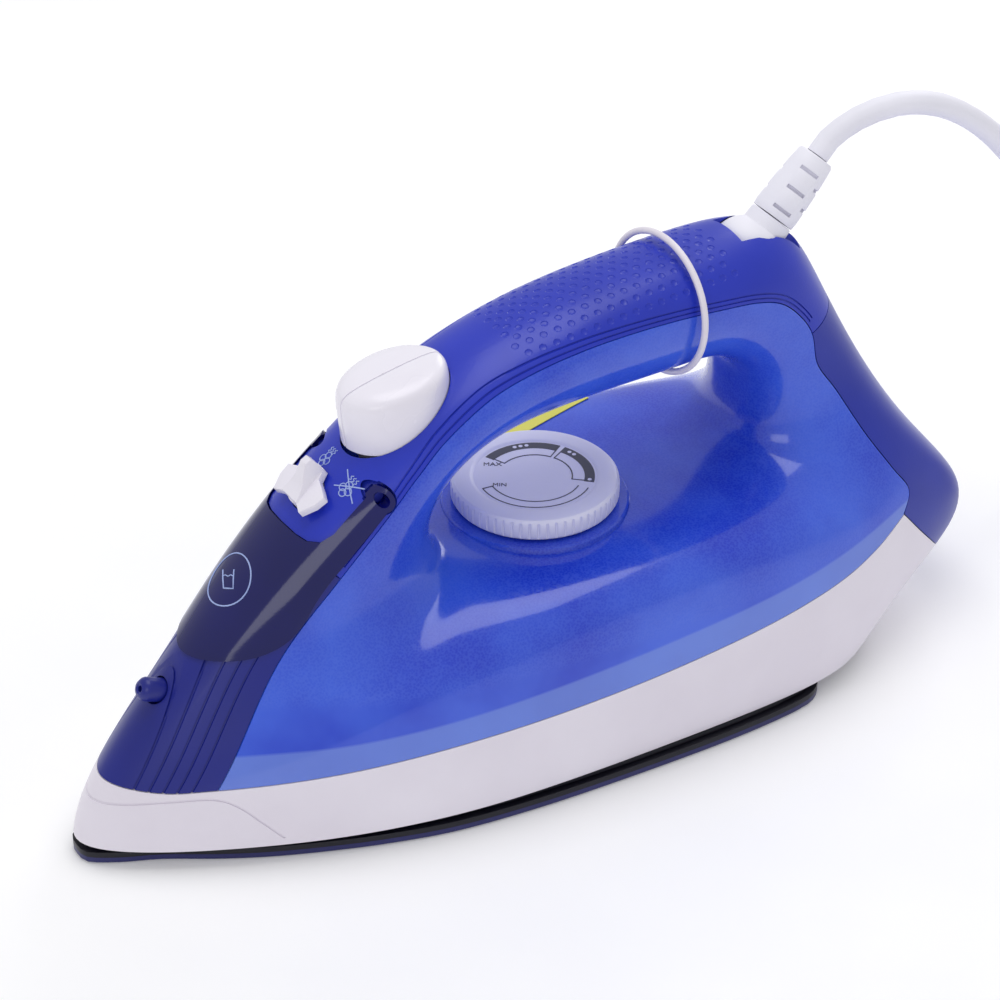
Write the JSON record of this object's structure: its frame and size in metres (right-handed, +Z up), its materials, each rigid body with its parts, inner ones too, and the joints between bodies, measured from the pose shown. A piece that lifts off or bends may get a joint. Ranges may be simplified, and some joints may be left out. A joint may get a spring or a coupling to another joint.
{
  "type": "steam iron",
  "caption": "Compact steam iron with a see-through water tank, a hinged fill door, a temperature dial, a steam lever, spray and boost buttons and a swivelling cord with plug.",
  "frame": {"origin": "on the ironing surface, under the middle of the iron's length and width, cord left out", "axes": "+X from the nose to the heel, +Y across to the user's right, +Z up from the sole"},
  "size_m": [0.4556, 0.1306, 0.1645],
  "materials": {
    "brass": "turned",
    "cast_aluminium": "as cast",
    "ceramic_white": "unglazed",
    "door_blue": "dark tinted, glossy",
    "grip_blue": "matt, finely dimpled",
    "heater_tube": "oxidised sheath",
    "label_yellow": "matt sticker",
    "nose_blue": "satin moulded",
    "rear_blue": "matt moulded",
    "rim_black": "matt",
    "rubber_grey": "matt",
    "sheet_steel": "plain sheet",
    "sleeve_white": "soft flexible plastic",
    "sole_coating": "dark smooth non-stick coating",
    "tank_blue": "clear tinted, glossy, partly frosted",
    "white_plastic": "satin moulded"
  },
  "bodies": {
    "iron": {"heat_skirt": "white_plastic", "water_tank": "tank_blue", "nose_cover": "nose_blue", "handle_cover": "grip_blue", "rear_cover": "rear_blue", "soleplate": "sole_coating", "insulating_rim": "rim_black", "heater_casting": "cast_aluminium", "heating_element": "heater_tube", "steam_chamber_cover": "sheet_steel", "thermostat": "ceramic_white", "thermal_fuse": "ceramic_white", "fuse_clip": "sheet_steel", "terminal_block": "ceramic_white", "live_lead": "ceramic_white", "live_handle_wire": "rubber_grey", "neutral_lead": "ceramic_white", "neutral_handle_wire": "rubber_grey", "tank_floor": "white_plastic", "spindle_sleeve": "tank_blue", "drip_valve": "brass", "drip_tube": "rubber_grey", "filler_funnel": "white_plastic", "spray_pump": "ceramic_white", "boost_pump": "ceramic_white", "spray_nozzle": "nose_blue", "spray_tube": "ceramic_white", "swivel_pin": "sheet_steel", "cord_run": "sleeve_white", "cord_coil": "sleeve_white", "cord_tail": "sleeve_white", "plug_body": "sleeve_white", "plug_pin_left": "sheet_steel", "plug_pin_right": "sheet_steel", "cord_tie": "rim_black", "rating_label": "label_yellow", "tag_loop": "white_plastic", "rear_screw_left": "sheet_steel", "rear_screw_right": "sheet_steel"},
    "fill_door": {"fill_door": "door_blue", "door_pin_left": "white_plastic", "door_pin_right": "white_plastic"},
    "temperature_dial": {"temperature_dial": "white_plastic", "dial_spindle": "sheet_steel"},
    "steam_lever": {"steam_lever": "white_plastic", "lever_stem": "white_plastic"},
    "drip_needle": {"valve_needle": "brass"},
    "spray_button": {"spray_button": "white_plastic", "spray_plunger": "white_plastic"},
    "boost_button": {"boost_button": "white_plastic", "boost_plunger": "white_plastic"},
    "cord_swivel": {"cord_ball": "sleeve_white", "strain_relief": "sleeve_white"}
  },
  "joints": [
    {"name": "dial_turn", "type": "hinge", "parent": "iron", "child": "temperature_dial", "pos_m": [0.00355, 0, 0.0704], "axis": [0, 0, -1], "range_deg": [0, 300]},
    {"name": "lever_turn", "type": "hinge", "parent": "iron", "child": "steam_lever", "pos_m": [-0.06995, 0, 0.0938], "axis": [-0.5446, 0, 0.8387], "range_deg": [-30, 30]},
    {"name": "needle_turn", "type": "hinge", "parent": "iron", "child": "drip_needle", "pos_m": [-0.07045, 0, 0.0625], "axis": [0, 0, 1], "range_deg": [-30, 30]},
    {"name": "spray_press", "type": "slide", "parent": "iron", "child": "spray_button", "axis": [0.1045, 0, -0.9945], "range_m": [0, 0.004], "stiffness_N_per_m": 300, "springref_m": -0.002},
    {"name": "boost_press", "type": "slide", "parent": "iron", "child": "boost_button", "axis": [0.1045, 0, -0.9945], "range_m": [0, 0.004], "stiffness_N_per_m": 300, "springref_m": -0.002},
    {"name": "door_lift", "type": "hinge", "parent": "iron", "child": "fill_door", "pos_m": [-0.05695, 0, 0.0966], "axis": [0, 1, 0], "range_deg": [0, 50]},
    {"name": "cord_swing", "type": "hinge", "parent": "iron", "child": "cord_swivel", "pos_m": [0.07455, 0, 0.1246], "axis": [0, -1, 0], "range_deg": [-10, 40], "deforming": ["cord_run"]}
  ],
  "couplings": [
    {"joint": "needle_turn", "follows": "lever_turn", "ratio": 1}
  ]
}
